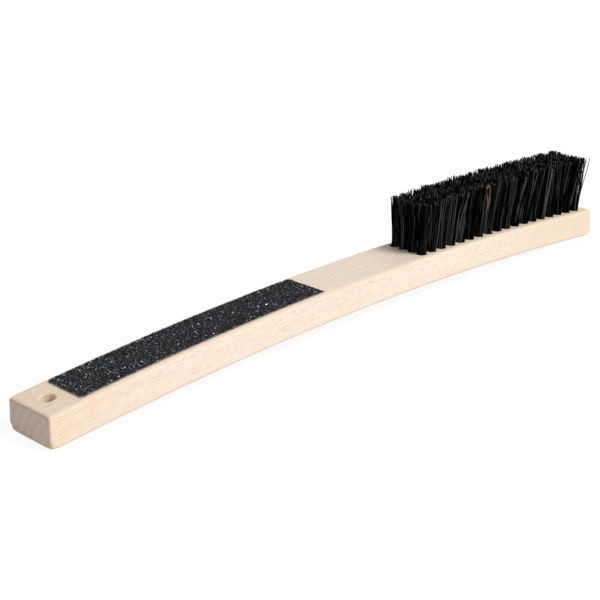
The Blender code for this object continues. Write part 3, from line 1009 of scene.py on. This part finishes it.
def tuft_strands(bristles, row, tuft, chance):
    """Foot, tip and shade of a tuft's strands. They gather in clumps that part upwards."""
    feet = sunflower(bristles.strands, bristles.foot_radius, chance.uniform(0, 6))
    feet += chance.normal(scale=FOOT_SCATTER, size=feet.shape)
    if row == 0 and tuft in FIRST_ROW_FEET:
        share, shift = FIRST_ROW_FEET[tuft]
        feet = feet * share + shift
    reach = bristles.foot_radius * CLUMP_REACH
    hubs = sunflower(bristles.clumps, reach, chance.uniform(0, 6))
    clump = np.argmin(np.linalg.norm(feet[:, None] - hubs[None], axis=2), axis=1)
    fan = np.tile((bristles.fan_along, bristles.fan_across), (len(feet), 1))
    if row == 0:
        fan[feet[:, 0] < 0, 0] = OUTER_FAN
    if row == bristles.rows - 1:
        fan[feet[:, 0] > 0, 0] = OUTER_FAN
    tips = feet * fan + tuft_lean(bristles, row, tuft, chance)
    tips += chance.normal(scale=CLUMP_SCATTER, size=hubs.shape)[clump]
    tips += chance.normal(scale=TIP_SCATTER, size=feet.shape)
    wild = chance.random(len(feet)) < ASTRAY_SHARE
    across = ASTRAY_FIRST_ROW if row == 0 else ASTRAY
    astray = chance.normal(scale=(ASTRAY, across), size=(wild.sum(), 2))
    tips[wild] += astray * (FAR_CALM if tuft == bristles.in_row - 1 else (1, 1))
    if row == 0:
        tips[:, 0] = np.maximum(tips[:, 0], feet[:, 0] - OUTER_REACH)
        if tuft == bristles.in_row - 1:
            tips[:, 1] = np.minimum(tips[:, 1], FAR_FIRST_REACH * bristles.foot_radius)
    if row == bristles.rows - 1:
        farthest = feet[:, 0] + LAST_ROW_LEAN[min(tuft, 3)] + OUTER_REACH
        tips[:, 0] = np.minimum(tips[:, 0], farthest)
        if tuft == 0:
            tips[:, 1] = np.maximum(tips[:, 1], feet[:, 1] - OUTER_REACH)
    shade = CLUMP_SHADE * chance.random(bristles.clumps)[clump]
    shade += (1 - CLUMP_SHADE) * chance.random(len(feet))
    # Painted shade: strands inside the field are darker
    if row > 0 and tuft > 0:
        shade *= INNER_PAINTED_SHADE
    shade[chance.random(len(feet)) < PALE_CHANCE] = PALE_STRAND
    return feet, tips, shade


def row_strands(bristles, row, chance):
    """Foot, tip, free length and shade of each strand in a row."""
    share = row / (bristles.rows - 1)
    free = bristles.length_butt_side + (bristles.length_head - bristles.length_butt_side) * share
    tufts = []
    for tuft in range(bristles.in_row):
        feet, tips, shades = tuft_strands(bristles, row, tuft, chance)
        across = np.array((0, tuft_across(bristles, tuft)))
        tips += across
        tips[:, 1] = np.clip(tips[:, 1], -NEAR_REACH, FAR_REACH)
        lengths = free - np.abs(chance.normal(scale=TRIM_SPREAD, size=len(feet)))
        lengths -= TRIM_WAVE * math.sin(TRIM_TURNS[0] * row + TRIM_TURNS[1] * tuft)
        tufts.append((feet + across, tips, lengths, shades))
    return (np.concatenate(item) for item in zip(*tufts))


def make_row(bristles, arcs, row, material):
    """One row of tufts. Each strand runs from foot to tip in a bow with a slight wave."""
    chance = np.random.default_rng(FIRST_SEED + row)
    feet, tips, lengths, shades = row_strands(bristles, row, chance)
    if row == bristles.rows - 1:
        feet[: len(STRAYS)], tips[: len(STRAYS)] = zip(*STRAYS)
    number = len(feet)
    name = f"bristles_row_{row + 1:02d}"
    mesh, points = copies(strand_template(), number, name)
    level = points[..., 2]
    above = np.clip((level - ROOT_SHARE) / (1 - ROOT_SHARE), 0, 1)
    sunk = bristles.hole_depth * SUNK_SHARE * (1 - np.clip(level / ROOT_SHARE, 0, 1))
    height = lengths[:, None] * above - sunk
    bow_turn = chance.uniform(0, 2 * math.pi, number)
    bow = np.sin(math.pi * above) * chance.normal(scale=BOW, size=number)[:, None]
    wave = np.sin(2 * math.pi * above) * chance.normal(scale=WAVE, size=number)[:, None]
    lie = feet[:, None, :] + (tips - feet)[:, None, :] * (above**CURVE_POWER)[..., None]
    cos, sin = np.cos(bow_turn)[:, None], np.sin(bow_turn)[:, None]
    lie += np.stack((cos * bow - sin * wave, sin * bow + cos * wave), axis=-1)
    radius = bristles.strand_diameter / 2 * chance.uniform(*THICKNESS, number)[:, None]
    radius = radius * (1 - TAPER * above)
    slant = chance.uniform(-CUT_SLANT, CUT_SLANT, number)[:, None] * (above > 0.99)
    x = lie[..., 0] + points[..., 0] * radius
    y = lie[..., 1] + points[..., 1] * radius
    z = height + points[..., 0] * radius * slant
    stand = np.array(arcs.stand_on_top(row_from_butt(bristles, arcs, row)))
    set_points(mesh, np.stack((x, y, z), axis=-1) @ stand[:3, :3].T + stand[:3, 3])
    give_each_copy(mesh, "strand", shades)
    mesh.shade_smooth()
    mesh.set_sharp_from_angle(angle=math.radians(80))
    shown(name, mesh, material, "bristles", f"tuft_row_{row + 1:02d}")


# The hair stands in front of this row, counted from 0
HAIR_ROW = 6
HAIR_LOOP_HEIGHT = 0.0217
HAIR_LOOP_WIDTH = 0.0020
# Points below the loop: shares of its half width, and heights
HAIR_RISE = ((0.6, 0.012), (0.75, 0.015))
HAIR_FALL = ((-0.7, 0.0170), (-0.4, 0.0145), (-0.1, 0.0124))
# How far the hair stands off at these heights
HAIR_HEIGHTS = (0.0, 0.0100, 0.0130, 0.0217)
HAIR_ALONG = (0.0, 0.0004, 0.0010, 0.0006)
HAIR_OUTWARD = (0.0, -0.0012, -0.0037, -0.0037)


def make_looped_hair(bristles, arcs):
    """A brown hair before a near tuft, bent over at its top."""
    curve = bpy.data.curves.new("looped_hair", "CURVE")
    curve.dimensions = "3D"
    curve.bevel_depth = bristles.strand_diameter / 2
    curve.bevel_resolution = 1
    curve.use_fill_caps = True
    half = HAIR_LOOP_WIDTH / 2
    straight = HAIR_LOOP_HEIGHT - half
    share, top = HAIR_RISE[0]
    foot = -bristles.hole_depth / 2
    points = [(share, height) for height in spread(foot, top, steps=6)[:-1]]
    points += HAIR_RISE
    for turn in spread(0, math.pi, steps=8):
        points.append((math.cos(turn), straight + half * math.sin(turn)))
    points += HAIR_FALL
    line = curve.splines.new("POLY")
    line.points.add(len(points) - 1)
    across = tuft_across(bristles, 0)
    for point, (share, height) in zip(line.points, points):
        along = float(np.interp(height, HAIR_HEIGHTS, HAIR_ALONG))
        outward = float(np.interp(height, HAIR_HEIGHTS, HAIR_OUTWARD))
        point.co = (along + half * share, across + outward, height, 1)
    mesh = baked_mesh(added(curve), "looped_hair")
    mesh.transform(arcs.stand_on_top(row_from_butt(bristles, arcs, HAIR_ROW)))
    mesh.shade_smooth()
    shown("looped_hair", mesh, brown_material(bristles), "bristles")


# Stage

CAMERA_PLACE = (-0.39656, -0.41121, 0.23317)
CAMERA_TURN = (68.528, 2.008, -43.226)
KEY_PLACE = (1.10, -2.23, 2.52)
KEY_AIM = (0, 0, 0.02)
# The floor's shade, and its shade and glow where it is seen
FLOOR_GREY = (0.80, 0.80, 0.80)
FLOOR_SEEN = (0.16, 0.16, 0.16)
FLOOR_GLOW = 0.90


def make_camera():
    camera = bpy.data.cameras.new("camera")
    camera.lens, camera.sensor_width = 94.38, 36.0
    camera.clip_start, camera.clip_end = 0.05, 20
    obj = added(camera)
    obj.location = CAMERA_PLACE
    obj.rotation_euler = [math.radians(turn) for turn in CAMERA_TURN]
    bpy.context.scene.camera = obj


def make_key_light(stage):
    light = bpy.data.lights.new("key", "AREA")
    light.shape = "SQUARE"
    light.size = 1.30
    light.energy = stage.key_power
    obj = added(light)
    obj.location = KEY_PLACE
    towards = Vector(KEY_AIM) - Vector(KEY_PLACE)
    obj.rotation_euler = towards.to_track_quat("-Z", "Y").to_euler()


def seen_directly(tree):
    """1 for rays from the camera, also in a reflection or through glass."""
    path = put(tree, "LightPath").outputs
    seen = maths("MAXIMUM", path["Is Camera Ray"], path["Is Glossy Ray"])
    return maths("MAXIMUM", seen, path["Is Transmission Ray"])


def make_world(stage):
    world = bpy.data.worlds.new("studio")
    world.use_nodes = True
    tree = world.node_tree
    tree.nodes.clear()
    white = put(tree, "Background", {"Color": (1, 1, 1, 1), "Strength": 1.0})
    up = split(put(tree, "TexCoord").outputs["Generated"])[2]
    up = maths("MAXIMUM", up, 0.0)
    more = stage.overhead - stage.ambient
    sky = maths("MULTIPLY_ADD", up, more, stage.ambient)
    soft = put(tree, "Background", {"Color": (1, 1, 1, 1), "Strength": sky})
    inputs = {0: seen_directly(tree), 1: soft.outputs[0], 2: white.outputs[0]}
    mixed = put(tree, "MixShader", inputs)
    output = put(tree, "OutputWorld")
    tree.links.new(mixed.outputs[0], output.inputs[0])
    bpy.context.scene.world = world


def make_floor():
    bm = bmesh.new()
    bmesh.ops.create_circle(bm, cap_ends=True, segments=96, radius=6.0)
    mesh = mesh_from(bm, "floor")
    material, tree, shader = new_material(
        "pale_floor", Roughness=0.9, Specular_IOR_Level=0.0, Emission_Color=(1, 1, 1, 1)
    )
    seen = seen_directly(tree)
    link(blend(seen, FLOOR_GREY, FLOOR_SEEN), shader, "Base Color")
    link(times(seen, FLOOR_GLOW), shader, "Emission Strength")
    mesh.materials.append(material)
    floor = added(mesh)


# Operators and panel


class MakeHandle(bpy.types.Operator):
    """Build the beech handle with its drilled holes"""

    bl_idname = "brush.make_handle"
    bl_label = "Handle"

    def execute(self, context):
        scene = context.scene
        make_handle(scene.brush_handle, scene.brush_wood, scene.brush_bristles)
        return {"FINISHED"}


class MakeStrip(bpy.types.Operator):
    """Build the abrasive strip: its backing film and its grains"""

    bl_idname = "brush.make_strip"
    bl_label = "Abrasive strip"

    def execute(self, context):
        scene = context.scene
        arcs = Arcs(scene.brush_handle)
        make_film(scene.brush_strip, arcs, random.Random(FILM_SEED))
        make_grit(scene.brush_strip, arcs)
        return {"FINISHED"}


class MakeBristles(bpy.types.Operator):
    """Build the rows of bristle tufts"""

    bl_idname = "brush.make_bristles"
    bl_label = "Bristles"

    def execute(self, context):
        scene = context.scene
        bristles = scene.brush_bristles
        arcs = Arcs(scene.brush_handle)
        material = nylon_material(bristles)
        for row in range(bristles.rows):
            make_row(bristles, arcs, row, material)
        make_looped_hair(bristles, arcs)
        return {"FINISHED"}


class MakeStage(bpy.types.Operator):
    """Build the floor, the lights and the camera"""

    bl_idname = "brush.make_stage"
    bl_label = "Stage"

    def execute(self, context):
        scene = context.scene
        stage = scene.brush_stage
        make_camera()
        make_world(stage)
        make_floor()
        make_key_light(stage)
        scene.view_settings.view_transform = "Standard"
        return {"FINISHED"}


class BrushPanel(bpy.types.Panel):
    bl_idname = "VIEW3D_PT_climbing_brush"
    bl_label = "Climbing brush"
    bl_space_type = "VIEW_3D"
    bl_region_type = "UI"
    bl_category = "Brush"

    def draw(self, context):
        for operator in OPERATORS:
            self.layout.operator(operator.bl_idname)


SETTINGS = {
    "brush_handle": HandleSettings,
    "brush_wood": WoodSettings,
    "brush_strip": StripSettings,
    "brush_bristles": BristleSettings,
    "brush_stage": StageSettings,
}
OPERATORS = (MakeHandle, MakeStrip, MakeBristles, MakeStage)
CLASSES = (*SETTINGS.values(), *OPERATORS, BrushPanel)


def register():
    for item in CLASSES:
        bpy.utils.register_class(item)
    for name, group in SETTINGS.items():
        setattr(bpy.types.Scene, name, PointerProperty(type=group))


def unregister():
    for name in SETTINGS:
        delattr(bpy.types.Scene, name)
    for item in reversed(CLASSES):
        bpy.utils.unregister_class(item)


def main():
    register()
    bpy.ops.brush.make_handle()
    bpy.ops.brush.make_strip()
    bpy.ops.brush.make_bristles()
    bpy.ops.brush.make_stage()


if __name__ == "__main__":
    main()
